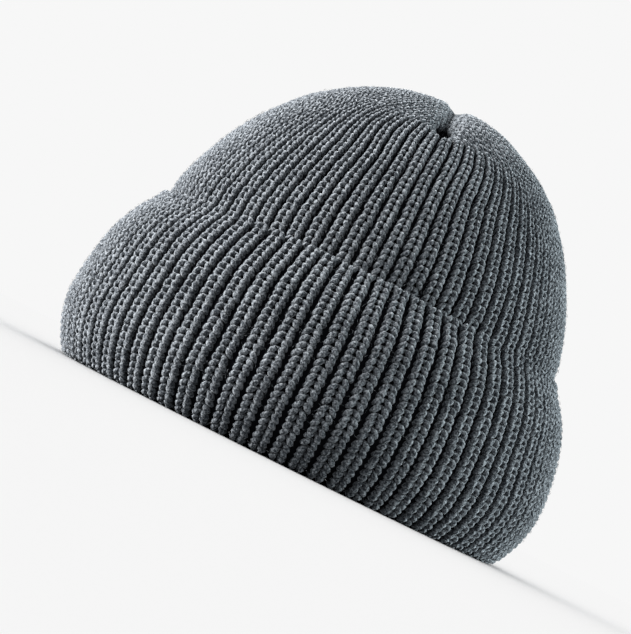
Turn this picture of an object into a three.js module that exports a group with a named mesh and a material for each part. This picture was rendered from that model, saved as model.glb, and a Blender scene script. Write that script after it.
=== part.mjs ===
// Ribbed knit cap with a wide turned-up cuff, standing on the fold of its cuff. Millimetres, +Z up.
// The origin is the centre of the flat ring that the fold rests on. The front faces -Y, the back
// seam lies at +Y, and azimuths are counted from the front towards +X.

import * as THREE from 'three';

// Driving dimensions of the whole cap
const HEIGHT = 157;            // resting ring to the top of the crown's smooth form, over its darts
const CROWN_RADIUS = 86;       // outside radius of the crown where it leaves the cuff
const SKIRT_FLARE = 6;         // how much wider the layer behind the cuff is at its lower edge
const LEAN = 3;                // how far the crown's top leans to one side
const LEAN_TURN = 111;         // azimuth that it leans to, in degrees
const WALL = 4;                // knit wall, over the ribs
const CLEARANCE = 0.3;         // gap between neighbouring pieces

// Driving dimensions of the cuff
const CUFF_HEIGHT = 75.4;      // resting ring to the cuff's upper edge
const EDGE_WALL = 2.7;         // the cuff's wall at its upper edge, where it is pressed on the crown
const LOFT = 8.4;              // air between the two layers where the cuff is widest
const WIDEST_HEIGHT = 24.4;    // where the cuff is widest
const REST_WIDTH = 3.6;        // flat ring that the fold rests on
const INNER_TURN = 2.8;        // from the inner face of the fold to the flat ring
const JOIN_HEIGHT = 10;        // where the fold's inner arm meets the crown's lower edge
const EDGE_WAVE = 0.7;         // how far the ribs' looped ends stand above the furrows

// Driving dimensions of the ribs
const PETALS = 4;              // sectors of the crown between its gathered darts
const PETAL_RIBS = 19;         // ribs in each sector
const RIB_DEPTH = 1.5;         // furrow depth outside
const INNER_RIB_DEPTH = 0.8;   // furrow depth inside
const SHOULDER = 0.2;          // half a furrow's width, as a share of the rib pitch

// Driving dimensions of the gathered top
const DART_TURN = 21;          // azimuth of the first dart, in degrees
const DART_LENGTH = 52;        // from the crown's top to each pit, along the surface
const PIT_DEPTH = 4.2;         // depth of the pit that ends each dart
const PIT_SPREAD = 5;          // half length of the pit along the dart
const VALLEY_DEPTH = 2.4;      // depth of the dart's valley between the pit and the top
const VALLEY_SPREAD = 5.5;     // half width of the valley

// Driving dimensions of the back seam
const SEAM_WIDTH = 4.6;        // over its flat faces
const SEAM_THICKNESS = 1.3;
const SEAM_TOP = 66;           // where the seam runs out under the crown, from the top along the wall

const HALF_PETAL = PETAL_RIBS / 2;
const PETAL_ANGLE = 2 * Math.PI / PETALS;
const DART_AZIMUTH = THREE.MathUtils.degToRad(DART_TURN);
const SEAM_AZIMUTH = Math.PI;
const UPRIGHT = { x: 0, y: 0 };

// The layer behind the cuff. height: share of the way from the join up to the cuff's edge,
// narrowing: share of SKIRT_FLARE that is taken in.
const SKIRT_ROWS = [
  { height: 0, narrowing: 0 },
  { height: 0.37, narrowing: 0.28 },
  { height: 0.75, narrowing: 0.65 },
];

// The crown above the cuff. height: share of the way from the cuff's edge to the top,
// radius: share of CROWN_RADIUS.
const CROWN_ROWS = [
  { height: 0, radius: 1 },
  { height: 0.25, radius: 0.934 },
  { height: 0.5, radius: 0.818 },
  { height: 0.696, radius: 0.68 },
  { height: 0.79, radius: 0.582 },
  { height: 0.872, radius: 0.472 },
  { height: 0.951, radius: 0.32 },
  { height: 0.986, radius: 0.19 },
  { height: 1, radius: 0 },
];

// The cuff's outer face above its widest place. height: share of the way up to the cuff's edge,
// bulge: share of the way out from the edge's radius to the widest, wall: share of the full wall.
const CUFF_ROWS = [
  { height: 0.982, bulge: 0, wall: 0.55 },
  { height: 0.9, bulge: 0.09, wall: 0.72 },
  { height: 0.8, bulge: 0.34, wall: 0.9 },
  { height: 0.6, bulge: 0.67, wall: 1 },
  { height: 0.32, bulge: 0.88, wall: 1 },
  { height: 0, bulge: 1, wall: 1 },
];

// The cuff's outer face below its widest place. height: share of WIDEST_HEIGHT,
// bulge: share of the way out from the flat ring to the widest, relief: share of the rib depth.
const ROLL_ROWS = [
  { height: 0.56, bulge: 0.78, relief: 1 },
  { height: 0.22, bulge: 0.4, relief: 1 },
  { height: 0, bulge: 0, relief: 0 },
];

// The fold's inner arm. height: share of JOIN_HEIGHT, turn: share of INNER_TURN that is left.
const ARM_ROWS = [
  { height: 0.28, turn: 0.3 },
  { height: 1, turn: 0 },
];

// How the ribs are drawn into a dart. reach: distance from the top as a share of DART_LENGTH,
// ended: share of the ribs on each side that have run into the dart, crowding: how much wider the
// ribs beside the dart stay than those in the middle of a petal.
const GATHER_ROWS = [
  { reach: 0, ended: 1, crowding: 0 },
  { reach: 0.12, ended: 0.89, crowding: 0 },
  { reach: 0.35, ended: 0.68, crowding: 0 },
  { reach: 0.65, ended: 0.41, crowding: 0 },
  { reach: 0.85, ended: 0.24, crowding: 0 },
  { reach: 0.98, ended: 0.12, crowding: 0.02 },
  { reach: 1.08, ended: 0, crowding: 0.14 },
  { reach: 1.3, ended: 0, crowding: 0.2 },
  { reach: 1.62, ended: 0, crowding: 0 },
];

// Places of the crown's rings over the darts, as shares of DART_LENGTH.
const DART_RINGS = [0.12, 0.38, 0.64, 0.86, 1, 1.12, 1.36, 1.62];
const SIDE_RINGS = 3;          // rings between the darts and the cuff's edge
const INNER_DART_RINGS = [0.12, 0.5, 1, 1.3, 1.75];
const INNER_SIDE_RINGS = 3;    // ribbed rings on the inside, down to the join
const HIDDEN_COLUMNS = 10;     // columns in a petal on faces that don't show

// Value of one column of a table at x, on straight lines between its rows.
function tableValue(rows, key, column, x) {
  const after = rows.findIndex((row) => row[key] >= x);
  if (after === 0) return rows[0][column];
  if (after < 0) return rows[rows.length - 1][column];
  const a = rows[after - 1];
  const b = rows[after];
  return THREE.MathUtils.mapLinear(x, a[key], b[key], a[column], b[column]);
}

// The crown's outer profile, from its lower edge to the top, as x = radius and y = height.
function crownProfile() {
  const lowerEdge = JOIN_HEIGHT + CLEARANCE;
  const skirt = SKIRT_ROWS.map((row) => new THREE.Vector2(
    CROWN_RADIUS + SKIRT_FLARE * (1 - row.narrowing),
    THREE.MathUtils.lerp(lowerEdge, CUFF_HEIGHT, row.height)));
  const dome = CROWN_ROWS.map((row) => new THREE.Vector2(
    CROWN_RADIUS * row.radius,
    THREE.MathUtils.lerp(CUFF_HEIGHT, HEIGHT, row.height)));
  const beforeTop = dome[dome.length - 2];
  const mirrored = new THREE.Vector2(-beforeTop.x, beforeTop.y);
  const rows = [...skirt, ...dome, mirrored];
  const steps = 40 * (rows.length - 2);
  const whole = new THREE.SplineCurve(rows);
  const topShare = (rows.length - 2) / (rows.length - 1);
  const points = [];
  for (let i = 0; i <= steps; i++) points.push(whole.getPoint(topShare * i / steps));
  points[steps].x = 0;
  return points.reverse();
}

const profile = crownProfile();
const profileLengths = [0];
for (let i = 1; i < profile.length; i++) {
  profileLengths.push(profileLengths[i - 1] + profile[i].distanceTo(profile[i - 1]));
}
const PROFILE_LENGTH = profileLengths[profile.length - 1];

// A place on the profile at a distance from the top: radius, height and outward normal.
function profileAt(distance) {
  const d = THREE.MathUtils.clamp(distance, 0, PROFILE_LENGTH);
  let i = profileLengths.findIndex((length) => length >= d);
  i = Math.max(i, 1);
  const t = (d - profileLengths[i - 1]) / (profileLengths[i] - profileLengths[i - 1]);
  const point = profile[i - 1].clone().lerp(profile[i], t);
  const along = profile[i].clone().sub(profile[i - 1]).normalize();
  return { radius: point.x, height: point.y, outR: -along.y, outZ: along.x };
}

// Distance from the top at which the profile is at a height.
function distanceAtHeight(height) {
  const i = profile.findIndex((point) => point.y <= height);
  return profileLengths[i < 0 ? profile.length - 1 : i];
}

const EDGE_DISTANCE = distanceAtHeight(CUFF_HEIGHT);

function crownRadiusAt(height) {
  return profileAt(distanceAtHeight(height)).radius;
}

// Smallest radius at which a ring of so many columns keeps clear of the crown.
function clearRadiusAt(height, columns) {
  return (crownRadiusAt(height) + CLEARANCE) / Math.cos(Math.PI / columns / PETALS);
}

// How far the crown's middle has leaned aside at a height.
function leanAt(height) {
  const share = Math.max(0, (height - CUFF_HEIGHT) / (HEIGHT - CUFF_HEIGHT));
  const azimuth = THREE.MathUtils.degToRad(LEAN_TURN);
  const length = LEAN * share ** 1.5;
  return { x: length * Math.sin(azimuth), y: -length * Math.cos(azimuth) };
}

// Rib coordinates run from 0 at a dart to PETAL_RIBS at the next. On the crown's outside the
// furrows lie at whole numbers. The fabric's other face, which shows inside and on the cuff, has
// its ribs where those furrows are.
function threePerRib(furrowAt) {
  const columns = [];
  for (let rib = 0; rib < PETAL_RIBS; rib++) {
    columns.push({ at: rib + furrowAt, furrow: 1 });
    columns.push({ at: rib + furrowAt + SHOULDER, furrow: 0 });
    columns.push({ at: rib + furrowAt + 1 - SHOULDER, furrow: 0 });
  }
  return columns;
}

function twoPerRib() {
  const columns = [];
  for (let rib = 0; rib < PETAL_RIBS; rib++) {
    columns.push({ at: rib, furrow: 0 });
    columns.push({ at: rib + 0.5, furrow: 1 });
  }
  return columns;
}

function onePerRib() {
  return Array.from({ length: PETAL_RIBS }, (_, rib) => ({ at: rib, furrow: 0 }));
}

// Faces that nothing shows have no ribs and fewer columns.
function hiddenColumns() {
  return Array.from({ length: HIDDEN_COLUMNS }, (_, i) => (
    { at: PETAL_RIBS * i / HIDDEN_COLUMNS, furrow: 0 }));
}

// How deep the dart's valley and pit are at a distance from the top and aside from the dart.
function valleyDepth(distance, aside) {
  const pit = PIT_DEPTH * Math.exp(-(((distance - DART_LENGTH) / PIT_SPREAD) ** 2));
  const fade = THREE.MathUtils.smoothstep(distance, DART_LENGTH, DART_LENGTH + 2 * PIT_SPREAD);
  const across = Math.exp(-((aside / VALLEY_SPREAD) ** 2));
  return (pit + VALLEY_DEPTH * (1 - fade)) * across;
}

// One ring of the crown at a distance from the top. depth(column, distance) is how far each
// column lies below the smooth outer form. Columns that have run into a dart are left out.
function crownRing(distance, columns, depth) {
  const place = profileAt(distance);
  const reach = distance / DART_LENGTH;
  const ended = tableValue(GATHER_ROWS, 'reach', 'ended', reach) * HALF_PETAL;
  const crowding = tableValue(GATHER_ROWS, 'reach', 'crowding', reach);
  const halfWidth = place.radius * PETAL_ANGLE / 2;
  const ring = [];
  for (let petal = 0; petal < PETALS; petal++) {
    for (const column of columns) {
      const fromDart = Math.min(column.at, PETAL_RIBS - column.at);
      const onDart = column.at === 0;
      if (!onDart && fromDart < ended + SHOULDER / 2) continue;
      const u = onDart ? 0 : (fromDart - ended) / (HALF_PETAL - ended);
      const share = u + crowding * u * (1 - u);
      const turn = column.at <= HALF_PETAL ? share / 2 : 1 - share / 2;
      const azimuth = DART_AZIMUTH + PETAL_ANGLE * (petal + turn);
      const below = depth(column, distance) + valleyDepth(distance, share * halfWidth);
      ring.push({
        order: petal + column.at / PETAL_RIBS,
        azimuth,
        radius: Math.max(place.radius - below * place.outR, 0),
        height: place.height - below * place.outZ,
        lean: leanAt(place.height),
      });
    }
  }
  return ring;
}

// A plain ring of evenly spread columns.
function evenRing(radius, height, columns, depth) {
  const ring = [];
  for (let petal = 0; petal < PETALS; petal++) {
    for (const column of columns) {
      const order = petal + column.at / PETAL_RIBS;
      const azimuth = DART_AZIMUTH + PETAL_ANGLE * order;
      const below = depth(column);
      ring.push({ order, azimuth, radius: radius - below.r, height: height - below.z, lean: UPRIGHT });
    }
  }
  return ring;
}

// Collects the vertices and triangles of one closed body.
class Body {
  constructor() {
    this.vertices = [];
    this.triangles = [];
  }

  addPoint(x, y, z) {
    this.vertices.push(x, y, z);
    return this.vertices.length / 3 - 1;
  }

  // A point by its azimuth and radius round a middle that may have leaned aside.
  addTurned(azimuth, radius, height, lean) {
    return this.addPoint(
      lean.x + radius * Math.sin(azimuth), lean.y - radius * Math.cos(azimuth), height);
  }

  addRing(ring) {
    return ring.map((point) => ({
      order: point.order,
      index: this.addTurned(point.azimuth, point.radius, point.height, point.lean),
    }));
  }

  // Joins two rings by triangles, going round both in step, rib by rib. The face points to the
  // left of the way from the first ring to the second, as seen along growing azimuth.
  join(first, second) {
    const orderOf = (ring, i) => ring[i % ring.length].order
      + PETALS * Math.floor(i / ring.length);
    const indexOf = (ring, i) => ring[i % ring.length].index;
    let a = 0;
    let b = 0;
    while (a < first.length || b < second.length) {
      const middleA = (orderOf(first, a) + orderOf(first, a + 1)) / 2;
      const middleB = (orderOf(second, b) + orderOf(second, b + 1)) / 2;
      const stepA = b >= second.length || (a < first.length && middleA <= middleB + 1e-9);
      if (stepA) {
        this.triangles.push(indexOf(first, a), indexOf(first, a + 1), indexOf(second, b));
        a += 1;
      } else {
        this.triangles.push(indexOf(first, a), indexOf(second, b + 1), indexOf(second, b));
        b += 1;
      }
    }
  }

  // Closes a ring on one point in its middle. upward says which way the face points.
  cap(ring, height, upward) {
    const tip = this.addTurned(0, 0, height, leanAt(height));
    ring.forEach((point, i) => {
      const next = ring[(i + 1) % ring.length].index;
      this.triangles.push(...(upward ? [point.index, next, tip] : [next, point.index, tip]));
    });
  }

  geometry() {
    const geometry = new THREE.BufferGeometry();
    geometry.setAttribute('position', new THREE.Float32BufferAttribute(this.vertices, 3));
    geometry.setIndex(this.triangles);
    geometry.computeVertexNormals();
    return geometry;
  }
}

// Crown: the dome above the cuff and the single layer that runs on down behind it.
function crownGeometry() {
  const body = new Body();
  const ribs = threePerRib(0);
  const backRibs = twoPerRib();
  const hidden = hiddenColumns();
  const furrow = (column) => RIB_DEPTH * column.furrow;
  const nothing = () => 0;
  const inside = (column) => WALL - INNER_RIB_DEPTH * column.furrow;
  const insideFlat = () => WALL;

  const dartRings = DART_RINGS.map((share) => share * DART_LENGTH);
  const lastDart = dartRings[dartRings.length - 1];
  const outer = dartRings.map((distance) => crownRing(distance, ribs, furrow));
  for (let i = 1; i <= SIDE_RINGS; i++) {
    const distance = THREE.MathUtils.lerp(lastDart, EDGE_DISTANCE + 2 * EDGE_WALL, i / SIDE_RINGS);
    outer.push(crownRing(distance, ribs, furrow));
  }
  const hiddenTop = EDGE_DISTANCE + 4 * EDGE_WALL;
  outer.push(crownRing(hiddenTop, hidden, nothing));
  outer.push(crownRing((hiddenTop + PROFILE_LENGTH) / 2, hidden, nothing));
  outer.push(crownRing(PROFILE_LENGTH, hidden, nothing));

  const ribbedFrom = INNER_DART_RINGS.length - 1;
  const inner = innerDistances().map((distance, i) => (
    i < ribbedFrom ? crownRing(distance, hidden, insideFlat) : crownRing(distance, backRibs, inside)));

  const outerRings = outer.map((ring) => body.addRing(ring));
  const innerRings = inner.map((ring) => body.addRing(ring));
  body.cap(outerRings[0], HEIGHT - VALLEY_DEPTH, true);
  for (let i = 1; i < outerRings.length; i++) body.join(outerRings[i], outerRings[i - 1]);
  body.join(innerRings[innerRings.length - 1], outerRings[outerRings.length - 1]);
  for (let i = innerRings.length - 1; i > 0; i--) body.join(innerRings[i - 1], innerRings[i]);
  body.cap(innerRings[0], HEIGHT - VALLEY_DEPTH - WALL, false);
  return body.geometry();
}

// Distances from the top of the rings on the crown's inner face.
function innerDistances() {
  const distances = INNER_DART_RINGS.map((share) => share * DART_LENGTH);
  const last = distances[distances.length - 1];
  for (let i = 1; i <= INNER_SIDE_RINGS; i++) {
    distances.push(THREE.MathUtils.lerp(last, PROFILE_LENGTH, i / INNER_SIDE_RINGS));
  }
  return distances;
}

// Cuff: the turned-up layer, its rolled fold, and the short inner arm that carries on as the
// crown's wall.
function cuffGeometry() {
  const body = new Body();
  const ribs = threePerRib(0.5);
  const backRibs = twoPerRib();
  const plain = onePerRib();
  const hidden = hiddenColumns();
  const edgeRadius = crownRadiusAt(CUFF_HEIGHT) + CLEARANCE + EDGE_WALL;
  const widest = crownRadiusAt(WIDEST_HEIGHT) + LOFT + WALL;
  const armFace = CROWN_RADIUS + SKIRT_FLARE - WALL;
  const restInner = armFace + INNER_TURN;
  const restOuter = restInner + REST_WIDTH;

  const face = CUFF_ROWS.map((row) => ({
    radius: THREE.MathUtils.lerp(edgeRadius, widest, row.bulge),
    height: THREE.MathUtils.lerp(WIDEST_HEIGHT, CUFF_HEIGHT, row.height),
    wall: row.wall * WALL,
    relief: 1,
  }));
  for (const row of ROLL_ROWS) {
    face.push({
      radius: THREE.MathUtils.lerp(restOuter, widest, row.bulge),
      height: WIDEST_HEIGHT * row.height,
      wall: WALL,
      relief: row.relief,
    });
  }

  // The hidden face of the turned-up layer follows the outer one at the wall's thickness, and
  // stays clear of the crown.
  const behind = [];
  for (let i = 1; i < face.length - 1; i++) {
    const along = new THREE.Vector2(face[i + 1].radius - face[i - 1].radius,
      face[i + 1].height - face[i - 1].height).normalize();
    const radius = face[i].radius + along.y * face[i].wall;
    const height = face[i].height - along.x * face[i].wall;
    const clear = height > JOIN_HEIGHT ? clearRadiusAt(height, HIDDEN_COLUMNS) : restInner;
    behind.push({ radius: Math.max(radius, clear), height: Math.max(height, WALL) });
  }

  const furrow = (relief) => (column) => ({ r: RIB_DEPTH * column.furrow * relief, z: 0 });
  const flat = () => ({ r: 0, z: 0 });
  const sunk = (column) => ({ r: INNER_RIB_DEPTH * -column.furrow, z: 0 });
  const section = [];
  const lipHeight = CUFF_HEIGHT - EDGE_WALL;
  section.push(evenRing(clearRadiusAt(lipHeight, PETAL_RIBS), lipHeight, plain, flat));
  section.push(evenRing(edgeRadius - EDGE_WALL / 2, CUFF_HEIGHT, ribs,
    (column) => ({ r: 0, z: EDGE_WAVE * column.furrow })));
  for (const row of face) {
    section.push(evenRing(row.radius, row.height, row.relief > 0 ? ribs : plain, furrow(row.relief)));
  }
  section.push(evenRing(restInner, 0, plain, flat));
  for (const row of ARM_ROWS) {
    section.push(evenRing(armFace + INNER_TURN * row.turn, JOIN_HEIGHT * row.height, backRibs, sunk));
  }
  section.push(evenRing(armFace + WALL, JOIN_HEIGHT, hidden, flat));
  section.push(evenRing((restInner + restOuter) / 2, WALL, hidden, flat));
  for (const row of behind.reverse()) {
    section.push(evenRing(row.radius, row.height, hidden, flat));
  }

  const rings = section.map((ring) => body.addRing(ring));
  rings.forEach((ring, i) => body.join(rings[(i + 1) % rings.length], ring));
  return body.geometry();
}

// The seam's six corners. side: share of its half width, depth: share of its thickness.
const SEAM_CORNERS = [
  { side: -1, depth: 0 },
  { side: 1, depth: 0 },
  { side: 1.15, depth: 0.5 },
  { side: 0.8, depth: 1 },
  { side: -0.8, depth: 1 },
  { side: -1.15, depth: 0.5 },
];

// Back seam: a narrow flat band of loops up the inside of the back.
function seamGeometry() {
  const body = new Body();
  const rows = innerDistances().filter((distance) => distance >= SEAM_TOP);
  const corners = rows.map((distance) => {
    const place = profileAt(distance);
    return SEAM_CORNERS.map((corner) => {
      const below = WALL + CLEARANCE + SEAM_THICKNESS * corner.depth;
      const radius = place.radius - below * place.outR;
      const azimuth = SEAM_AZIMUTH + corner.side * SEAM_WIDTH / 2 / radius;
      return body.addTurned(azimuth, radius, place.height - below * place.outZ,
        leanAt(place.height));
    });
  });
  const sides = SEAM_CORNERS.length;
  for (let row = 1; row < corners.length; row++) {
    for (let i = 0; i < sides; i++) {
      const j = (i + 1) % sides;
      body.triangles.push(corners[row - 1][i], corners[row][i], corners[row][j]);
      body.triangles.push(corners[row - 1][i], corners[row][j], corners[row - 1][j]);
    }
  }
  const last = corners.length - 1;
  for (let i = 1; i < sides - 1; i++) {
    body.triangles.push(corners[0][0], corners[0][i], corners[0][i + 1]);
    body.triangles.push(corners[last][0], corners[last][i + 1], corners[last][i]);
  }
  return body.geometry();
}

function yarn(color) {
  return new THREE.MeshStandardMaterial({ color, roughness: 0.95, metalness: 0 });
}

const crown = new THREE.Mesh(crownGeometry(), yarn(0x7a7f84));
crown.name = 'crown';

const cuff = new THREE.Mesh(cuffGeometry(), yarn(0x74797e));
cuff.name = 'cuff';

const backSeam = new THREE.Mesh(seamGeometry(), yarn(0x62676c));
backSeam.name = 'back_seam';

const cap = new THREE.Group();
cap.name = 'fisherman_beanie';
cap.add(crown, cuff, backSeam);

export default cap;
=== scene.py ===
# %% [markdown]
# # A ribbed fisherman beanie
#
# This lesson dresses the imported solids of a chunky knit cap: a gathered crown, a turned-up cuff
# and the seam inside its back. The solids give the form and the size. Here each stitch of the
# knit is laid on that form as a small piece of yarn, over a thin backing that closes the fabric.
# Everything is in metres, Z up, and the front faces -Y. The solids' box is read before anything
# is added.

import math
import bpy
import numpy as np
from mathutils import Matrix, Vector


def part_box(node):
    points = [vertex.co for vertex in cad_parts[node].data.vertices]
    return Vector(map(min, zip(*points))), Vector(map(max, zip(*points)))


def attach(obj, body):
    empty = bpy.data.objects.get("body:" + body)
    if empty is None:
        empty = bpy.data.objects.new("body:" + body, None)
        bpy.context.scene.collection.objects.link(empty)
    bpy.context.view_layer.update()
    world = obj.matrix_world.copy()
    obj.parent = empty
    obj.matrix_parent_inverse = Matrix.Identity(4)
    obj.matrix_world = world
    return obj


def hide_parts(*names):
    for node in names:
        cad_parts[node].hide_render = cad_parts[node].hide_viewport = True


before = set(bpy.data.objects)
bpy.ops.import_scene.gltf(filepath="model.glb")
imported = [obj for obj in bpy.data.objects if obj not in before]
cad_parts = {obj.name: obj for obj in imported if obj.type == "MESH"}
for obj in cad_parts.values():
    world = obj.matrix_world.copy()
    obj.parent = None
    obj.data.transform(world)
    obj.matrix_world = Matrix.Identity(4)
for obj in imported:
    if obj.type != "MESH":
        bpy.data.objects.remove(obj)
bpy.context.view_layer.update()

# %% [markdown]
# ## Main sizes
#
# A knit is counted in ribs across and in courses up. This cap has 76 ribs, 19 between each two of
# its four darts, and one course is 2.8 mm high. Sizes could be measured on the solids' meshes, but
# a stitch must sit exactly on its rib. So the solids' own driving sizes are named here too, each
# where it is first needed, and the cuff's height is read from its solid.

# %% Main sizes
MM = 0.001
CUFF_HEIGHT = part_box("cuff")[1].z
HEIGHT = 157.0 * MM
CROWN_RADIUS = 86.0 * MM
WALL = 4.0 * MM

PETALS = 4
PETAL_RIBS = 19
COURSE = 2.8 * MM
YARN = 2.1 * MM
print("ribs", PETALS * PETAL_RIBS, "cuff height", round(CUFF_HEIGHT, 4))

# %% [markdown]
# ## Camera
#
# The photo looks at the front of the cap from a little below, with the picture rolled so that the
# cap leans to the right. The cap stands on a floor here, and a camera may not look through it, so
# the camera goes as low as it can, and close enough that the crown is seen as far from below as
# in the photo. A camera can be turned by hand, tracked to an empty or given its axes. The axes
# are worked out here, because the roll and the cap's place in the picture are then exact.

# %% Camera at the photo's side, just over the floor
CAMERA_AZIMUTH = math.radians(21)
CAMERA_DISTANCE = 0.80
CAMERA_HEIGHT = 11 * MM
CAMERA_ROLL = math.radians(26.3)
PHOTO_SIZE = (631, 634)
PHOTO_MIDDLE = (359.5, 290.0)
MIDDLE_HEIGHT = 75 * MM
PIXELS_PER_METRE = 2500
SENSOR = 36.0


def make_camera():
    data = bpy.data.cameras.new("photo_camera")
    camera = bpy.data.objects.new("photo_camera", data)
    bpy.context.scene.collection.objects.link(camera)
    side = Vector((math.sin(CAMERA_AZIMUTH), -math.cos(CAMERA_AZIMUTH), 0))
    right = Vector((math.cos(CAMERA_AZIMUTH), math.sin(CAMERA_AZIMUTH), 0))
    place = side * CAMERA_DISTANCE + Vector((0, 0, CAMERA_HEIGHT))
    middle = Vector((0, 0, MIDDLE_HEIGHT))
    back = (place - middle).normalized()
    up = back.cross(right)
    rolled_right = right * math.cos(CAMERA_ROLL) + up * math.sin(CAMERA_ROLL)
    rolled_up = up * math.cos(CAMERA_ROLL) - right * math.sin(CAMERA_ROLL)
    aside = (PHOTO_MIDDLE[0] - PHOTO_SIZE[0] / 2) / PIXELS_PER_METRE
    above = (PHOTO_SIZE[1] / 2 - PHOTO_MIDDLE[1]) / PIXELS_PER_METRE
    # aiming beside the cap puts it where it is in the picture, and the axes are set square again
    target = middle - rolled_right * aside - rolled_up * above
    back = (place - target).normalized()
    rolled_up = (rolled_up - back * rolled_up.dot(back)).normalized()
    rolled_right = rolled_up.cross(back)
    turn = Matrix((rolled_right, rolled_up, back)).transposed().to_4x4()
    camera.matrix_world = Matrix.Translation(place) @ turn
    data.sensor_width = SENSOR
    data.lens = PIXELS_PER_METRE * (place - middle).length / max(PHOTO_SIZE) * SENSOR
    data.clip_start, data.clip_end = 0.01, 50
    bpy.context.scene.camera = camera
    return camera


camera = make_camera()
print("lens", round(camera.data.lens, 1))

# %% [markdown]
# ## Floor and room
#
# The photo has a plain pale ground without a horizon. A curved sweep could give it, or a wide
# floor in a pale world. The floor is simpler, and the world's even light also fills the knit
# softly. Their two tones are chosen so that the floor's far edge doesn't show.

# %% Floor and world
PAGE = (0.93, 0.93, 0.93, 1)   # the photo's ground
FLOOR_TONE = (0.99, 0.99, 0.99, 1)
FLOOR_SIZE = 30


def deselect():
    if bpy.context.object is not None and bpy.context.object.mode != "OBJECT":
        bpy.ops.object.mode_set(mode="OBJECT")
    bpy.ops.object.select_all(action="DESELECT")


def make_floor():
    deselect()
    bpy.ops.mesh.primitive_plane_add(size=FLOOR_SIZE, location=(0, 0, 0))
    floor = bpy.context.object
    floor.name = "floor"
    paint = bpy.data.materials.new("floor_paint")
    paint.use_nodes = True
    shader = paint.node_tree.nodes["Principled BSDF"]
    shader.inputs["Base Color"].default_value = FLOOR_TONE
    shader.inputs["Roughness"].default_value = 1.0
    shader.inputs["Specular IOR Level"].default_value = 0.0
    floor.data.materials.append(paint)
    return floor


def make_world():
    world = bpy.data.worlds.new("pale_room")
    world.use_nodes = True
    background = world.node_tree.nodes["Background"]
    background.inputs["Color"].default_value = PAGE
    bpy.context.scene.world = world


floor = make_floor()
make_world()
bpy.context.scene.view_settings.view_transform = "Standard"
print("floor", FLOOR_SIZE, "m wide")

# %% [markdown]
# ## Lamps
#
# In the photo the left side of the cap is bright, the right edge a little less so, and the middle
# stays dark. Large area lamps could do this, but their light changes with distance. Far lamps
# with a wide angle are soft as well and light every stitch alike. One stands at the left and a
# weaker one at the right, both low. Light linking keeps them off the floor, which then has no
# hard shadows.

# %% Two far lamps that spare the floor
SUN_DISTANCE = 2


def add_sun(name, turn_degrees, height_degrees, strength, softness_degrees, tone):
    """A far lamp, so many degrees to the right of the camera and over the horizon."""
    data = bpy.data.lights.new(name, "SUN")
    data.energy = strength
    data.angle = math.radians(softness_degrees)
    data.color = tone
    sun = bpy.data.objects.new(name, data)
    bpy.context.scene.collection.objects.link(sun)
    azimuth = CAMERA_AZIMUTH + math.radians(turn_degrees)
    height = math.radians(height_degrees)
    towards = Vector((math.sin(azimuth) * math.cos(height), -math.cos(azimuth) * math.cos(height),
                      math.sin(height)))
    sun.rotation_mode = "QUATERNION"
    sun.rotation_quaternion = towards.to_track_quat("Z", "Y")
    sun.location = towards * SUN_DISTANCE
    return sun


def spare(sun, unlit):
    """Keeps a lamp off one object, which then shows neither its light nor its shadows."""
    spared = bpy.data.collections.new(sun.name + "_spares")
    spared.objects.link(unlit)
    sun.light_linking.receiver_collection = spared
    spared.collection_objects[0].light_linking.link_state = "EXCLUDE"


key_sun = add_sun("key_sun", turn_degrees=-91, height_degrees=15, strength=38.0,
                  softness_degrees=48, tone=(1.0, 0.97, 0.94))
fill_sun = add_sun("fill_sun", turn_degrees=102, height_degrees=14, strength=21.0,
                   softness_degrees=50, tone=(0.92, 1.0, 0.98))
for sun in (key_sun, fill_sun):
    spare(sun, floor)
    print(sun.name, [round(v, 2) for v in sun.location])

# %% [markdown]
# ## Paths
#
# A cap is knitted round, so its form is a profile turned round the middle. The profile could be
# drawn as a curve object. A short table of rows with a smooth curve through them is easier to
# measure: every place in the knit is a distance along this curve, and the curve's normal gives
# the direction of depth. Between two rows the curve is a cubic that takes its slopes from the
# rows beside them, so it passes through all rows without a corner.

# %% A smooth path with its length and normal
def smooth_through(points, steps):
    """Smooth curve through the points, as many steps between each two."""
    points = np.array(points, float)
    before = np.vstack([points[:1], points[:-1]])
    after = np.vstack([points[1:], points[-1:]])
    slopes = (after - before) / 2
    out = []
    for i in range(len(points) - 1):
        t = np.linspace(0, 1, steps, endpoint=False)[:, None]
        a, b = points[i], points[i + 1]
        out.append((2 * t**3 - 3 * t**2 + 1) * a + (t**3 - 2 * t**2 + t) * slopes[i]
                   + (3 * t**2 - 2 * t**3) * b + (t**3 - t**2) * slopes[i + 1])
    out.append(points[-1:])
    return np.vstack(out)


class Path:
    """A profile in radius and height. Its normal is on the left of its run, on the knit's face."""

    def __init__(self, points):
        self.points = points
        steps = np.diff(points, axis=0)
        self.lengths = np.concatenate([[0], np.cumsum(np.hypot(*steps.T))])
        self.length = self.lengths[-1]
        along = np.gradient(points, self.lengths, axis=0)
        along /= np.linalg.norm(along, axis=1)[:, None]
        self.along = along

    def at(self, distance):
        pick = [np.interp(distance, self.lengths, column)
                for column in (*self.points.T, *self.along.T)]
        radius, height, along_r, along_z = pick
        return radius, height, -along_z, along_r


level = Path(smooth_through([(0, 0), (1, 0)], 10))
print("a level path of", level.length, "has its normal up:", float(level.at(0.5)[3]))

# %% [markdown]
# ## The crown's profile
#
# The crown is a round dome over a slightly flared skirt, which runs down behind the cuff. It could
# be a squashed ball, but the real dome is fuller at the shoulder. So its rows are a table, with
# shares of its height and radius as in the solids' source. One more row beyond the middle makes
# the top level there, and is then cut off. Distances are counted from the top down.

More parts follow.
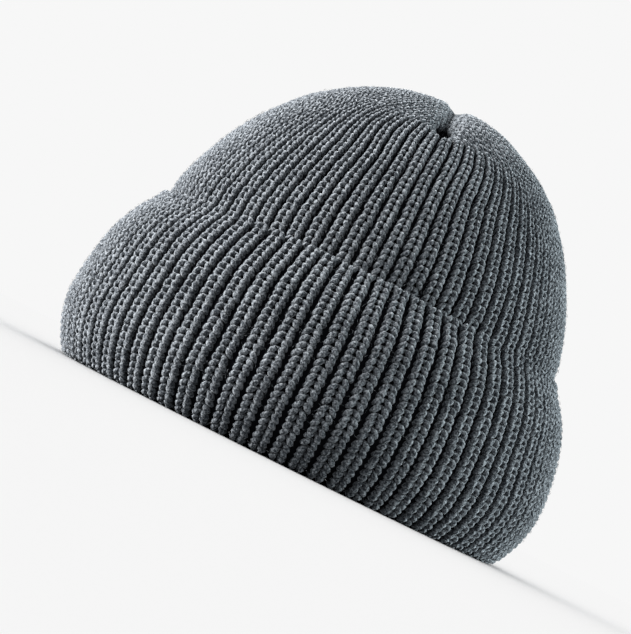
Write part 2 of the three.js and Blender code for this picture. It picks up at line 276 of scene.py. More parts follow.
# %% Profile of the crown
SKIRT_FLARE = 6.0 * MM
JOIN_HEIGHT = 10.0 * MM
CLEARANCE = 0.3 * MM
SKIRT_ROWS = ((0, 0), (0.37, 0.28), (0.75, 0.65))
CROWN_ROWS = (
    (0, 1), (0.25, 0.934), (0.5, 0.818), (0.696, 0.68), (0.79, 0.582),
    (0.872, 0.472), (0.951, 0.32), (0.986, 0.19), (1, 0),
)
CROWN_STEPS = 30


def crown_path():
    join = JOIN_HEIGHT + CLEARANCE
    skirt = [(CROWN_RADIUS + SKIRT_FLARE * (1 - narrow), join + (CUFF_HEIGHT - join) * up)
             for up, narrow in SKIRT_ROWS]
    dome = [(CROWN_RADIUS * share, CUFF_HEIGHT + (HEIGHT - CUFF_HEIGHT) * up)
            for up, share in CROWN_ROWS]
    beyond = (-dome[-2][0], dome[-2][1])
    rows = smooth_through(skirt + dome + [beyond], CROWN_STEPS)
    return Path(rows[: CROWN_STEPS * (len(skirt) + len(dome) - 1) + 1][::-1])


crown_form = crown_path()
EDGE_DISTANCE = float(np.interp(-CUFF_HEIGHT, -crown_form.points[:, 1], crown_form.lengths))
print("crown profile", round(crown_form.length, 4), "down to the cuff", round(EDGE_DISTANCE, 4))

# %% [markdown]
# ## Slow unevenness
#
# A real knit is never quite even. Slow waves, a few tenths of a millimetre high, move its surface
# in and out and its ribs from side to side. A Displace modifier with a noise could do it for one
# mesh. These waves depend only on the place in the knit, so the backing and all stitches move
# together. The crown also leans a few millimetres to one side, as in the photo.

# %% Waves, places round the middle and the crown's lean
WAVES = ((2, 0.11, 0.4), (5, 0.07, 0.3), (9, 0.045, 0.2), (17, 0.03, 0.15))
LEAN = 3.0 * MM
LEAN_AZIMUTH = math.radians(111)


def waves(turn, distance, seed):
    """Slow wave between about -1 and 1. Each row of WAVES is count, length and weight."""
    total = np.zeros(np.broadcast(turn, distance).shape)
    for count, reach, weight in WAVES:
        shift = seed * (1.7 + count)
        total = total + weight * np.sin(count * turn + shift + 2 * math.pi * distance / reach)
    return total


def spot(r, azimuth, height, aside=(0, 0)):
    """Points from radius, azimuth and height, moved aside."""
    return np.stack([aside[0] + r * np.sin(azimuth), aside[1] - r * np.cos(azimuth), height],
                    axis=-1)


def lean_at(height):
    """How far the crown leans aside at a height."""
    share_up = np.clip((height - CUFF_HEIGHT) / (HEIGHT - CUFF_HEIGHT), 0, 1)
    lean = LEAN * share_up ** 1.5
    return lean * math.sin(LEAN_AZIMUTH), -lean * math.cos(LEAN_AZIMUTH)


print("lean at the top", [round(float(v), 4) for v in lean_at(HEIGHT)])

# %% [markdown]
# ## Darts
#
# A knitted crown is closed by taking stitches away along a few lines, here four darts. Beside a
# dart the ribs run on side by side and end in it, so fewer and fewer of them reach the top. The
# dart itself is a valley with a small deep pit where it begins. One could cut the mesh and sew
# it, as a maker would. A table that says how many ribs have ended at each distance does the same
# to every place of the knit at once. Valley and pit are a little deeper and narrower here than in
# the solids, because the stitches beside them are round and fill a part of them.

# %% Valleys, pits and how many ribs have ended
HALF_PETAL = PETAL_RIBS / 2
DART_AZIMUTH = math.radians(21)
DART_LENGTH = 52.0 * MM
PIT_DEPTH = 6.0 * MM
PIT_SPREAD = 4.2 * MM
PIT_WIDTH = 3.0 * MM
VALLEY_DEPTH = 2.6 * MM
VALLEY_SPREAD = 3.4 * MM
GATHER_REACH = (0, 0.12, 0.35, 0.65, 0.85, 0.98, 1.08, 1.3, 1.62)
GATHER_ENDED = (1, 0.89, 0.68, 0.41, 0.24, 0.12, 0, 0, 0)
GATHER_CROWDING = (0, 0, 0, 0, 0, 0.02, 0.14, 0.2, 0)


def valley_depth(distance, aside):
    pit = PIT_DEPTH * np.exp(-((distance - DART_LENGTH) / PIT_SPREAD) ** 2)
    fade = np.clip((distance - DART_LENGTH) / (2 * PIT_SPREAD), 0, 1)
    fade = fade * fade * (3 - 2 * fade)
    valley = VALLEY_DEPTH * (1 - fade)
    return (pit * np.exp(-(aside / PIT_WIDTH) ** 2)
            + valley * np.exp(-(aside / VALLEY_SPREAD) ** 2))


def dart_ends(distance):
    """How many ribs on each side of a dart have run into it at a distance from the top."""
    return np.interp(distance / DART_LENGTH, GATHER_REACH, GATHER_ENDED) * HALF_PETAL


print("ribs left halfway down a dart", 2 * PETALS * (HALF_PETAL - dart_ends(DART_LENGTH / 2)))

# %% [markdown]
# ## From the knit to space
#
# This function turns a place in the crown's knit into a place in space. It takes the quarter of
# the cap (petal), the rib's number in it, the distance from the top and the depth under the
# surface. Sculpting each piece would be the other way. With one function for all of them the
# pieces always fit each other. Ribs that have run into a dart are pressed thin beside it, and the
# cuff's edge presses the crown in a little.

# %% Place of a point of the crown
EDGE_PRESS = 0.9 * MM
PRESS_REACH = 8.0 * MM
PRESSED_RIB = 0.1
RIB_SWAY = 0.006
SWAY_FROM = 1.1   # in dart lengths from the top
CROWN_SWELL = 0.35 * MM


def edge_press(distance):
    """How far the cuff's edge presses the crown in, fading out above it."""
    near = np.clip(1 - np.abs(distance - EDGE_DISTANCE) / PRESS_REACH, 0, 1)
    return EDGE_PRESS * near * near * (3 - 2 * near)


def crown_place(petal, at, distance, depth):
    """Place of a point of the crown's knit."""
    radius, height, out_r, out_z = crown_form.at(distance)
    ended = dart_ends(distance)
    # ribs between this place and the dart, pressed to nearly nothing once they have ended
    beside = np.minimum(at, PETAL_RIBS - at) - ended
    pressed = PRESSED_RIB * np.exp(np.minimum(beside, PRESSED_RIB) / PRESSED_RIB - 1)
    beside = np.where((ended > 0) & (beside < PRESSED_RIB), pressed, beside)
    # share of the way from the dart to the petal's middle, with the ribs near the dart wider
    u = np.minimum(beside / np.maximum(HALF_PETAL - ended, 1e-6), 1)
    crowding = np.interp(distance / DART_LENGTH, GATHER_REACH, GATHER_CROWDING)
    share = u + crowding * u * (1 - u)
    turn = np.where(at <= HALF_PETAL, share / 2, 1 - share / 2)
    azimuth = DART_AZIMUTH + (petal + turn) * 2 * math.pi / PETALS
    # ribs sway only below the darts
    free = np.clip(distance / DART_LENGTH - SWAY_FROM, 0, 1)
    azimuth = azimuth + free * RIB_SWAY * waves(azimuth, distance, seed=2.0)
    aside = share * radius * math.pi / PETALS
    below = (depth + valley_depth(distance, aside) + edge_press(distance)
             - CROWN_SWELL * waves(azimuth, distance, seed=1.0))
    r = np.maximum(radius - below * out_r, 0)
    return spot(r, azimuth, height - below * out_z, lean_at(height))


print("top", crown_place(0, 0.0, 0.0, 0.0).round(4))

# %% [markdown]
# ## The cuff's form
#
# The cuff is the same fabric, turned up. Its visible face starts behind the upper edge, goes over
# it, down the bulging front, round the fold under the cap and up the fold's inner arm, where the
# crown's inside carries on. It could be made of several surfaces. One path through these rows is
# simpler: the stitches run on over the fold unbroken, and the distance along it counts them.

# %% Path of the cuff's visible face
EDGE_WALL = 2.7 * MM
LOFT = 8.4 * MM
WIDEST_HEIGHT = 24.4 * MM
REST_WIDTH = 3.6 * MM
INNER_TURN = 2.8 * MM
LIP_ROWS = ((0.45, 0), (0.75, 0.6))
CUFF_ROWS = ((0.9, 0.09), (0.8, 0.34), (0.6, 0.67), (0.32, 0.88), (0, 1))
ROLL_ROWS = ((0.56, 0.8), (0.22, 0.42), (0.03, 0.08))
ARM_ROWS = ((0.06, 0.75), (0.28, 0.3), (0.6, 0.06), (1, 0))


def crown_radius_at(height):
    distance = np.interp(-height, -crown_form.points[:, 1], crown_form.lengths)
    return float(crown_form.at(distance)[0])


def cuff_path():
    lip = crown_radius_at(CUFF_HEIGHT) + CLEARANCE
    edge = lip + EDGE_WALL
    widest = crown_radius_at(WIDEST_HEIGHT) + LOFT + WALL
    arm = CROWN_RADIUS + SKIRT_FLARE - WALL
    rest_inner = arm + INNER_TURN
    rest_outer = rest_inner + REST_WIDTH
    rows = [(lip + EDGE_WALL * out, CUFF_HEIGHT - EDGE_WALL * down) for out, down in LIP_ROWS]
    rows += [(edge + (widest - edge) * out, WIDEST_HEIGHT + (CUFF_HEIGHT - WIDEST_HEIGHT) * up)
             for up, out in CUFF_ROWS]
    rows += [(rest_outer + (widest - rest_outer) * out, WIDEST_HEIGHT * up)
             for up, out in ROLL_ROWS]
    rows += [((rest_inner + rest_outer) / 2, 0)]
    rows += [(arm + INNER_TURN * turn, JOIN_HEIGHT * up) for up, turn in ARM_ROWS]
    return Path(smooth_through(rows, 16))


cuff_form = cuff_path()
print("cuff face", round(cuff_form.length, 4))

# %% [markdown]
# ## From the knit to the cuff
#
# The cuff's places follow the same idea as the crown's, without darts. The real cuff has slow
# dents and an upper edge that isn't quite level. A lattice could bend the finished cuff. The same
# waves as on the crown do it here, fading out at the fold, which stays flat on the floor.

# %% Place of a point of the cuff
CUFF_SWAY = 0.005
CUFF_SWELL = 0.45 * MM
EDGE_LIFT = 0.8 * MM


def cuff_place(petal, at, distance, depth):
    """Place of a point of the cuff's knit."""
    radius, height, out_r, out_z = cuff_form.at(distance)
    azimuth = DART_AZIMUTH + (petal + at / PETAL_RIBS) * 2 * math.pi / PETALS
    high = np.clip(height / WIDEST_HEIGHT, 0, 1)
    azimuth = azimuth + high * CUFF_SWAY * waves(azimuth, distance, seed=3.0)
    below = depth - high * CUFF_SWELL * waves(azimuth, distance, seed=4.0)
    near_edge = np.clip(height / CUFF_HEIGHT, 0, 1) ** 3
    lift = near_edge * EDGE_LIFT * waves(azimuth, np.zeros_like(distance), seed=5.0)
    return spot(radius - below * out_r, azimuth, height - below * out_z + lift)


print("cuff's upper front", cuff_place(0, 0.0, 0.03, 0.0).round(4))

# %% [markdown]
# ## Shader maths
#
# Materials are made of nodes, and a sum of four terms takes several of them. They could be placed
# one by one, as in the editor. One small class makes it shorter: it wraps a node's output and
# turns plain arithmetic into Math nodes. Any other node is added by its one method.

# %% Node arithmetic
class Value:
    """An output of a shader node, with arithmetic."""

    def __init__(self, tree, node=None, output=0):
        self.tree = tree
        self.node = node
        self.socket = node.outputs[output] if node else None

    def add_node(self, kind, inputs=(), output=0, **settings):
        node = self.tree.nodes.new(kind)
        for key, setting in settings.items():
            setattr(node, key, setting)
        for key, value in dict(inputs).items():
            if isinstance(value, Value):
                self.tree.links.new(value.socket, node.inputs[key])
            else:
                node.inputs[key].default_value = value
        return Value(self.tree, node, output)

    def math(self, operation, *values):
        return self.add_node("ShaderNodeMath", enumerate(values), operation=operation)

    def __add__(self, other): return self.math("ADD", self, other)
    def __radd__(self, other): return self.math("ADD", other, self)
    def __sub__(self, other): return self.math("SUBTRACT", self, other)
    def __rsub__(self, other): return self.math("SUBTRACT", other, self)
    def __mul__(self, other): return self.math("MULTIPLY", self, other)
    def __rmul__(self, other): return self.math("MULTIPLY", other, self)

    def between(self, first, second):
        """Mix of two colours by this value. The colour sockets are 6 and 7, and 2 comes out."""
        return self.add_node("ShaderNodeMix", {0: self, 6: first, 7: second}, 2, data_type="RGBA")

    def kept_within(self, low, high):
        return self.math("MINIMUM", self.math("MAXIMUM", self, low), high)


print("node arithmetic ready")

# %% [markdown]
# ## Yarn
#
# The yarn is a soft grey wool blend, slightly bluish. It could be painted with a picture of real
# yarn. Nodes are used instead, because they stay sharp from near. Each stitch carries two numbers
# of its own. `shade` makes neighbouring stitches a little lighter or darker. `root` says how deep
# a place lies in the fabric, and there the yarn's colour is darkened to nearly black: painted
# shade, as dark as the furrows are in the photo. Two plies wind round each other along the yarn,
# and fine noise makes its fluff, in colour and in relief. The yarn has no shine, only a weak sheen
# that lights the fibres at grazing angles.

# %% Yarn material
YARN_LIGHT = (0.111, 0.123, 0.136, 1)
YARN_DARK = (0.013, 0.016, 0.020, 1)
# the near black that deep yarn is darkened to: painted shade
YARN_PAINTED_SHADE = (0.003, 0.0032, 0.004, 1)
YARN_SHEEN = (0.8, 0.86, 0.93, 1)
FLUFF_SCALE = 1400.0
PATCH_SCALE = 55.0
TWIST_TURNS = 1.2
FLUFF_IN_TONE, PATCH_IN_TONE, TWIST_IN_TONE, TONE_START = 5.0, 0.6, 0.15, 3.4
FLUFF_IN_RELIEF, TWIST_IN_RELIEF = 2.0, 0.4
RELIEF = 0.3 * MM


def new_paint(name):
    paint = bpy.data.materials.new(name)
    paint.use_nodes = True
    return paint, paint.node_tree.nodes["Principled BSDF"]


def make_yarn():
    paint, shader = new_paint("grey_yarn")
    start = Value(paint.node_tree)
    place = start.add_node("ShaderNodeTexCoord", output="Object")
    shade = start.add_node("ShaderNodeAttribute", output="Fac", attribute_name="shade")
    root = start.add_node("ShaderNodeAttribute", output="Fac", attribute_name="root")
    round_and_along = start.add_node("ShaderNodeUVMap", uv_map="yarn")
    round_yarn = start.add_node("ShaderNodeSeparateXYZ", {0: round_and_along})
    along = Value(paint.node_tree, round_yarn.node, "Y")
    twist = start.math("SINE", (round_yarn * 2 + along * TWIST_TURNS) * (2 * math.pi))
    fluff = start.add_node("ShaderNodeTexNoise",
                           {"Vector": place, "Scale": FLUFF_SCALE, "Detail": 3.0})
    patch = start.add_node("ShaderNodeTexNoise",
                           {"Vector": place, "Scale": PATCH_SCALE, "Detail": 2.0})
    light = (fluff * FLUFF_IN_TONE + patch * PATCH_IN_TONE + twist * TWIST_IN_TONE + shade
             - TONE_START).kept_within(0.0, 1.0)
    # the yarn's own tone, darkened by root towards near black as painted shade deep in the fabric
    tone = root.kept_within(0.0, 1.0).between(light.between(YARN_DARK, YARN_LIGHT), YARN_PAINTED_SHADE)
    height = twist * TWIST_IN_RELIEF + fluff * FLUFF_IN_RELIEF
    bump = start.add_node("ShaderNodeBump", {"Strength": 1.0, "Distance": RELIEF, "Height": height})
    links = paint.node_tree.links
    links.new(tone.socket, shader.inputs["Base Color"])
    links.new(bump.socket, shader.inputs["Normal"])
    shader.inputs["Roughness"].default_value = 1.0
    shader.inputs["Diffuse Roughness"].default_value = 0.5
    shader.inputs["Specular IOR Level"].default_value = 0.0
    shader.inputs["Sheen Weight"].default_value = 0.18
    shader.inputs["Sheen Roughness"].default_value = 0.5
    shader.inputs["Sheen Tint"].default_value = YARN_SHEEN
    return paint


yarn_paint = make_yarn()
print("yarn nodes", len(yarn_paint.node_tree.nodes))

# %% [markdown]
# ## Deep yarn, painted in shade
#
# Between the stitches one looks into the depth of the fabric, where hardly any light comes. The
# yarn's own material could be used there too. A plain paint, nearly black as painted shade, is
# enough, because nothing in that depth is seen clearly.

# %% Backing material, nearly black as painted shade
BACKING_SHADE_TONE = (0.003, 0.0032, 0.004, 1)


def make_backing_shade_paint():
    paint, shader = new_paint("deep_yarn_shade")
    # nearly black: painted shade for the depth between the stitches
    shader.inputs["Base Color"].default_value = BACKING_SHADE_TONE
    shader.inputs["Roughness"].default_value = 1.0
    shader.inputs["Specular IOR Level"].default_value = 0.0
    return paint


backing_shade_paint = make_backing_shade_paint()
print(backing_shade_paint.name, BACKING_SHADE_TONE[:3])

# %% [markdown]
# ## Wrapping a sheet on the form
#
# Modelling every hidden loop of the fabric would cost much and show nothing, so a thin sheet,
# nearly black as painted shade, lies under the stitches. Shrinkwrap on the solids could shape it,
# but it would follow their ribs. So it starts as a plain grid, and each of its vertices is a place
# in the knit (rib and distance), which the place function moves to its place in space. What then
# meets at the sides and at the top is merged, slits that are left are filled, and Solidify gives
# it thickness.

# %% A grid, wrapped, merged and thickened
BACKING_DEPTH = 2.3 * MM
BACKING_WALL = 0.5 * MM
MERGE = 0.02 * MM
SLIT_SIDES = 8


def finish_piece(piece, name, node, paint):
    piece.name = name
    piece.data.name = name
    piece.data.materials.clear()
    piece.data.materials.append(paint)
    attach(piece, "root")
    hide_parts(node)
    return piece


def wrapped_grid(place, distances, depth, wall):
    """A closed sheet at a depth in the knit, two columns to a rib."""
    ribs = PETALS * PETAL_RIBS
    deselect()
    bpy.ops.mesh.primitive_grid_add(x_subdivisions=ribs * 2, y_subdivisions=len(distances) - 1,
                                    size=2, location=(0, 0, 0))
    sheet = bpy.context.object
    flat = np.array([vertex.co for vertex in sheet.data.vertices])
    rib = (flat[:, 0] + 1) / 2 * ribs
    row = np.rint((flat[:, 1] + 1) / 2 * (len(distances) - 1)).astype(int)
    petal = np.floor(rib / PETAL_RIBS + 1e-6).astype(int) % PETALS
    at = np.clip(rib - np.floor(rib / PETAL_RIBS + 1e-6) * PETAL_RIBS, 0, PETAL_RIBS)
    # from here on the grid's vertices lie on the cap
    spots = place(petal, at, np.array(distances)[row], depth)
    sheet.data.vertices.foreach_set("co", spots.ravel())
    bpy.ops.object.mode_set(mode="EDIT")
    bpy.ops.mesh.select_all(action="SELECT")
    bpy.ops.mesh.remove_doubles(threshold=MERGE)
    bpy.ops.mesh.select_all(action="SELECT")
    bpy.ops.mesh.fill_holes(sides=SLIT_SIDES)
    bpy.ops.mesh.dissolve_degenerate(threshold=MERGE)
    bpy.ops.mesh.normals_make_consistent(inside=False)
    bpy.ops.object.mode_set(mode="OBJECT")
    solidify = sheet.modifiers.new("wall", "SOLIDIFY")
    solidify.thickness = wall
    solidify.offset = -1
    bpy.ops.object.modifier_apply(modifier=solidify.name)
    bpy.ops.object.shade_smooth()
    return sheet


def triangle_count(piece):
    return sum(len(polygon.vertices) - 2 for polygon in piece.data.polygons)


print("columns", PETALS * PETAL_RIBS * 2)

# %% [markdown]
# ## The two backings
#
# The crown's backing goes from the top down behind the cuff, and the cuff's from just behind its
# upper edge round the fold. Both could be one sheet, as the real fabric is. They are two, because
# crown and cuff are parts of their own and each replaces its own solid.

# %% Backing of the crown and of the cuff
LIP_TURN = 3 * MM
ROW_STEP = 4 * MM

crown_rows = np.arange(0, crown_form.length + ROW_STEP / 2, ROW_STEP)
crown_rows = crown_rows * crown_form.length / crown_rows[-1]
cuff_rows = np.linspace(LIP_TURN, cuff_form.length, int(cuff_form.length / ROW_STEP) + 1)
crown_backing = finish_piece(wrapped_grid(crown_place, crown_rows, BACKING_DEPTH, BACKING_WALL),
                             "crown_backing", "crown", backing_shade_paint)
cuff_backing = finish_piece(wrapped_grid(cuff_place, cuff_rows, BACKING_DEPTH, BACKING_WALL),
                            "cuff_backing", "cuff", backing_shade_paint)
for piece in (crown_backing, cuff_backing):
    print(piece.name, triangle_count(piece), "triangles")

# %% [markdown]
# ## A tube to bend
#
# Yarn is round, so every stitch starts as a straight closed tube: a disc, extruded ring by ring.
# A curve with a bevel would give a tube as well. The extruded one has its rings at known places
# and few faces, which counts when it is copied thousands of times.

# %% A straight tube
def tube(sides, rings):
    """A straight closed tube along +Z, extruded ring by ring, one unit a step."""
    deselect()
    bpy.ops.mesh.primitive_circle_add(vertices=sides, radius=1, fill_type="NGON")
    straight = bpy.context.object
    bpy.ops.object.mode_set(mode="EDIT")
    bpy.ops.mesh.select_all(action="SELECT")
    for _ in range(rings - 1):
        bpy.ops.mesh.extrude_region_move(TRANSFORM_OT_translate={"value": (0, 0, 1)})
    bpy.ops.mesh.select_all(action="SELECT")
    bpy.ops.mesh.normals_make_consistent(inside=False)
    bpy.ops.object.mode_set(mode="OBJECT")
    return straight


def drop(piece):
    mesh = piece.data
    bpy.data.objects.remove(piece)
    bpy.data.meshes.remove(mesh)


sample = tube(6, 3)
print("a tube of three rings has", triangle_count(sample), "triangles")
drop(sample)

# %% [markdown]
# ## One stitch
#
# Seen upright, every course of a rib is an arch of yarn: two plump legs lean together towards the
# top, with a small dark hole between them. A foot sinks into the furrow at each side, and the
# arch's head dives under the legs of the course above. The tube could be bent by a curve
# modifier. Moving its rings to nine places is more exact, because each may have its own
# thickness. The stitch is still flat: its sizes are across the rib, along it and deep in the knit.

# %% The tube's rings, moved to an arch
STITCH_PATH = (   # across, along towards the rim, depth of the yarn's middle, radius: in yarns
    (-1.08, 0.76, 1.35, 0.36), (-0.97, 0.46, 0.84, 0.50), (-0.74, 0.03, 0.60, 0.58),
    (-0.45, -0.40, 0.56, 0.48), (0.0, -0.70, 1.04, 0.34),
    (0.45, -0.40, 0.56, 0.48), (0.74, 0.03, 0.60, 0.58), (0.97, 0.46, 0.84, 0.50),
    (1.08, 0.76, 1.35, 0.36),
)


class Template:
    """One stitch: its vertices as across, along and depth in metres, its faces and its UVs."""

    def __init__(self, path, sides, size):
        path = np.array(path) * size
        straight = tube(sides, len(path))
        flat = np.array([vertex.co for vertex in straight.data.vertices])
        ring = np.rint(flat[:, 2]).astype(int)
        round_turn = np.arctan2(flat[:, 1], flat[:, 0])
        middle, radius = path[:, :3], path[:, 3]
        run = np.gradient(middle, axis=0)
        run /= np.linalg.norm(run, axis=1)[:, None]
        # side and rise are the two directions across the yarn, and depth counts inwards
        side = np.cross(run, (0, 0, -1.0))
        side /= np.linalg.norm(side, axis=1)[:, None]
        rise = np.cross(run, side)
        self.points = (middle[ring] + radius[ring, None]
                       * (np.cos(round_turn)[:, None] * side[ring]
                          + np.sin(round_turn)[:, None] * rise[ring]))
        self.faces = [tuple(polygon.vertices) for polygon in straight.data.polygons]
        self.corners = self.unrolled(middle, ring, round_turn)
        self.triangles = triangle_count(straight)
        drop(straight)

    def unrolled(self, middle, ring, round_turn):
        """UVs of all face corners: turns round the yarn, and yarns along it."""
        steps = np.linalg.norm(np.diff(middle, axis=0), axis=1)
        along = np.concatenate([[0], np.cumsum(steps)]) / YARN
        corners = []
        for face in self.faces:
            # a face over the seam of the unrolled yarn takes the turn on its far side
            turns = round_turn[list(face)] / (2 * math.pi)
            if turns.max() - turns.min() > 0.5 and len(face) == 4:
                turns = np.where(turns < 0, turns + 1, turns)
            corners += [(turn, along[ring[v]]) for turn, v in zip(turns, face)]
        return np.array(corners)


stitch = Template(STITCH_PATH, 6, YARN)
print("stitch", len(stitch.points), "vertices", stitch.triangles, "triangles")

# %% [markdown]
# ## Copying a stitch
#
# The same stitch goes to every course of every rib. Instances on points are the quick way, but
# each would stay stiff. Here every copy is bent with the form by its place function, and no two
# are quite alike: small seeded shifts, turns and changes of size keep the knit from looking
# printed. Thousands of single copies would take long, so those of a quarter of the cap are
# worked out together and become one mesh.

# %% Copies of a stitch over a form
STITCH_SHIFT = 0.10 * MM
SHADES = (0.9, 1.1)
# painted shade: below this depth the yarn's colour is darkened
PAINTED_SHADE_FROM = 0.5   # depth in yarns where it starts to darken


def copies(name, template, at, distance, petal, pitch, place, seed, node,
           turn_spread=0.05, size_spread=0.035):
    """Joined copies of the template, one for each rib middle (at) and distance."""
    random = np.random.default_rng(seed)
    count = len(at)
    # every copy has its own small turn, size and shift
    turn = random.normal(0, turn_spread, count)[:, None]
    size = (1 + np.clip(random.normal(0, size_spread, count), -0.6, 1))[:, None]
    shift = random.normal(0, STITCH_SHIFT, (3, count, 1))
    across, along, depth = (template.points[None, :, i] for i in range(3))
    turned = across * np.cos(turn) - along * np.sin(turn)
    knit_at = at[:, None] + (size * turned + shift[0]) / pitch
    knit_distance = distance[:, None] + across * np.sin(turn) + along * np.cos(turn) + shift[1]
    knit_depth = depth / size + np.abs(shift[2])
    spots = place(petal, knit_at, np.maximum(knit_distance, 0), knit_depth)
    # all copies become one mesh, with their faces counted on from copy to copy
    vertices = len(template.points)
    mesh = bpy.data.meshes.new(name)
    starts = np.arange(count) * vertices
    faces = [tuple(np.add(face, start)) for start in starts for face in template.faces]
    mesh.from_pydata(spots.reshape(-1, 3).tolist(), [], faces)
    # what the yarn's material reads: place on the yarn, shade of the stitch, depth of the place,
    # which the material darkens towards black as painted shade
    uv = mesh.uv_layers.new(name="yarn")
    corners = template.corners[None] + random.uniform(0, 1, (count, 1, 2))
    uv.data.foreach_set("uv", corners.ravel())
    shade = np.repeat(random.uniform(*SHADES, count), vertices)
    mesh.attributes.new("shade", "FLOAT", "POINT").data.foreach_set("value", shade)
    # root: how deep each vertex lies, which the yarn's material darkens as painted shade
    deep = (template.points[:, 2] / YARN - PAINTED_SHADE_FROM) / (1 - PAINTED_SHADE_FROM)
    root = np.tile(np.clip(deep, 0, 1), count)
    mesh.attributes.new("root", "FLOAT", "POINT").data.foreach_set("value", root)
    mesh.shade_smooth()
    piece = bpy.data.objects.new(name, mesh)
    bpy.context.scene.collection.objects.link(piece)
    return finish_piece(piece, name, node, yarn_paint)


def course_grid(first, last, middle_shift, ended=None):
    """Rib middles and distances of all courses of one petal, without the ribs that have ended."""
    ribs = np.arange(PETAL_RIBS) + middle_shift
    rows = np.arange(first, last, COURSE)
    at, distance = (grid.ravel() for grid in np.meshgrid(ribs, rows))
    if ended is not None:
        kept = np.minimum(at, PETAL_RIBS - at) > ended(distance)
        at, distance = at[kept], distance[kept]
    return at, distance


print("stitches in 100 mm of a petal", len(course_grid(0, 100 * MM, 0.0)[0]))

# %% [markdown]
# ## The crown's stitches
#
# The crown's ribs run down from the top, and its last courses slip under the cuff's edge. Where a
# rib has run into a dart its stitches end. They could be cut off there. They are left out one by
# one instead, so no stitch is cut through, as in the real knit. A few more are left out at the
# pit, which then opens as the small dark hole that the photo shows.

# %% The crown's stitches
CROWN_PITCH = 2 * math.pi * CROWN_RADIUS / (PETALS * PETAL_RIBS)
CROWN_START = 4.5 * MM
LIP_COVER = 2.5 * MM
DART_OVERLAP = 0.2
PIT_GAP = 0.8
PIT_GAP_REACH = 4 * MM


def dart_gap(distance):
    """Ribs on each side of a dart whose stitches are left out: most at the pit."""
    near_pit = np.exp(-((distance - DART_LENGTH) / PIT_GAP_REACH) ** 2)
    return dart_ends(distance) - DART_OVERLAP + PIT_GAP * near_pit


made = []
for petal in range(PETALS):
    at, distance = course_grid(CROWN_START, EDGE_DISTANCE + LIP_COVER, 0.5, dart_gap)
    made.append(copies(f"crown_rib_knit_{petal}", stitch, at, distance, petal, CROWN_PITCH,
                       crown_place, 100 + petal, "crown"))
print("crown", [triangle_count(piece) for piece in made])

# %% [markdown]
# ## The cuff's stitches
#
# Turned up, the fabric shows its other side, where ribs and furrows have changed places, so the
# cuff's ribs stand half a rib beside the crown's. The cuff is wider than the crown. Stretching
# the same stitch would make its yarn look flat, so it gets a wider arch of thicker yarn.

# %% The cuff's stitches
CUFF_PITCH = 2 * math.pi * (CROWN_RADIUS + LOFT + WALL) / (PETALS * PETAL_RIBS)
CUFF_WIDER = 1.16
CUFF_THICKER = 1.07

cuff_stitch = Template([(across * CUFF_WIDER, along, depth, radius * CUFF_THICKER)
                        for across, along, depth, radius in STITCH_PATH], 6, YARN)
made = []
for petal in range(PETALS):
    at, distance = course_grid(COURSE / 2, cuff_form.length, 0.0)
    made.append(copies(f"cuff_rib_knit_{petal}", cuff_stitch, at, distance, petal, CUFF_PITCH,
                       cuff_place, 200 + petal, "cuff"))
print("cuff", [triangle_count(piece) for piece in made])

# %% [markdown]
# ## The inside
#
# Inside the crown the other side of the same fabric shows. Its ribs lie where the furrows are
# outside and carry on from the cuff's fold. The outer stitches could be made thick enough to show
# on both sides. Separate ones cost less: the inside is seen from below only, so its stitches have
# fewer sides and bends.

# %% Lighter stitches on the inside
INSIDE_YARN = 1.6 * MM
INSIDE_TOP = 14 * MM
INSIDE_OVERLAP = 0.01
LIGHT_PATH = (
    (-1.45, 0.85, 0.78, 0.30), (-1.02, 0.05, 0.50, 0.50), (-0.62, -0.5, 0.55, 0.42),
    (0.0, -1.05, 0.76, 0.30),
    (0.62, -0.5, 0.55, 0.42), (1.02, 0.05, 0.50, 0.50), (1.45, 0.85, 0.78, 0.30),
)


def inside_place(petal, at, distance, depth):
    """The crown's inner face. Distance runs up from the join, so the stitches turn over."""
    return crown_place(petal, at, np.maximum(crown_form.length - distance, 0), WALL - depth)


def inside_ended(distance):
    return dart_ends(crown_form.length - distance) - INSIDE_OVERLAP


light_stitch = Template(LIGHT_PATH, 4, INSIDE_YARN)
made = []
for petal in range(PETALS):
    at, distance = course_grid(COURSE / 2, crown_form.length - INSIDE_TOP, 0.0, inside_ended)
    made.append(copies(f"inside_rib_knit_{petal}", light_stitch, at, distance, petal, CROWN_PITCH,
                       inside_place, 300 + petal, "crown"))
print("inside", [triangle_count(piece) for piece in made])

# %% [markdown]
# ## The back seam
#
# Inside the back the fabric's two edges are joined by a narrow chain of loops. A plain band with
# a bump would look flat from below. It is a column of the same light stitches, smaller and closer
# together than the courses, that stands a little off the inner face.

# %% Chain of the back seam
SEAM_WIDTH = 4.6 * MM
SEAM_TOP = 66 * MM
SEAM_COURSE = 2.1 * MM
SEAM_YARN = 1.25 * MM
SEAM_STAND_OFF = 1.5 * MM


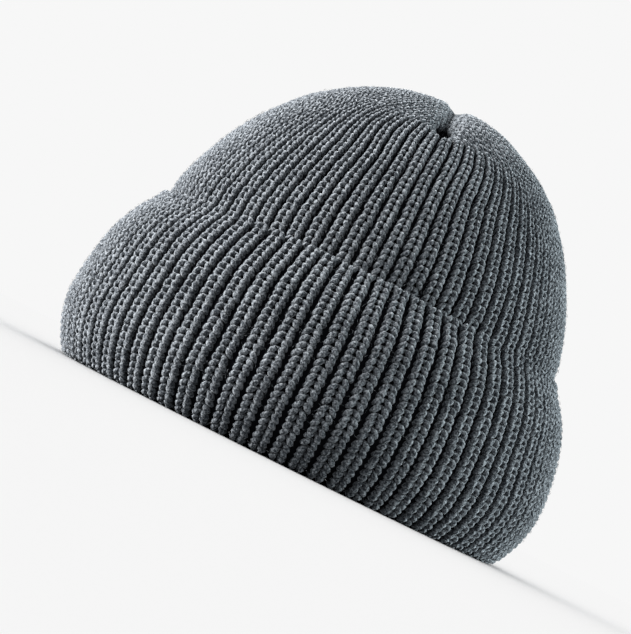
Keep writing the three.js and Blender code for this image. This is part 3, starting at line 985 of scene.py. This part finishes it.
def seam_place(petal, at, distance, depth):
    """Places on the inner face at the back: across as a share of the seam's width."""
    radius, height, out_r, out_z = crown_form.at(distance)
    below = WALL + SEAM_STAND_OFF - depth
    r = radius - below * out_r
    azimuth = math.pi - at * SEAM_WIDTH / r
    return spot(r, azimuth, height - below * out_z, lean_at(height))


seam_stitch = Template(LIGHT_PATH, 6, SEAM_YARN)
seam_rows = np.arange(SEAM_TOP + SEAM_COURSE, crown_form.length - SEAM_COURSE, SEAM_COURSE)
seam = copies("back_seam_chain", seam_stitch, np.zeros(len(seam_rows)), seam_rows, 0, SEAM_WIDTH,
              seam_place, 400, "back_seam")
print("seam", triangle_count(seam))

# %% [markdown]
# ## Loose fibres
#
# Wool blend is never sleek. Fine fibres stand off the yarn everywhere and soften the outline and
# the furrows. Blender's hair could make them, but it is no mesh and would be missing wherever
# only meshes are kept. One fibre is a hair-thin bent tube, copied to random places of the knit
# and turned every way.

# %% Fibres all over the outside
FIBRES_A_PETAL = 900
FIBRE_PATH = (
    (0.0, 0.0, 0.6, 0.04), (0.9, 0.12, -0.15, 0.03), (1.8, -0.3, -0.2, 0.02),
)
EVERY_WAY = 3.0
FIBRE_SIZES = 0.4

fibre = Template(FIBRE_PATH, 3, 1 * MM)
random = np.random.default_rng(500)
made = []
for petal in range(PETALS):
    at = random.uniform(0, PETAL_RIBS, FIBRES_A_PETAL)
    distance = np.sqrt(random.uniform(0.01, 1, FIBRES_A_PETAL)) * EDGE_DISTANCE
    kept = np.minimum(at, PETAL_RIBS - at) > dart_gap(distance)
    made.append(copies(f"crown_fibres_{petal}", fibre, at[kept], distance[kept], petal,
                       CROWN_PITCH, crown_place, 510 + petal, "crown",
                       EVERY_WAY, FIBRE_SIZES))
    distance = random.uniform(EDGE_WALL, cuff_form.length - 3 * JOIN_HEIGHT, FIBRES_A_PETAL)
    made.append(copies(f"cuff_fibres_{petal}", fibre, at, distance, petal, CUFF_PITCH, cuff_place,
                       520 + petal, "cuff", EVERY_WAY, FIBRE_SIZES))
print("fibres", sum(triangle_count(piece) for piece in made), "triangles")
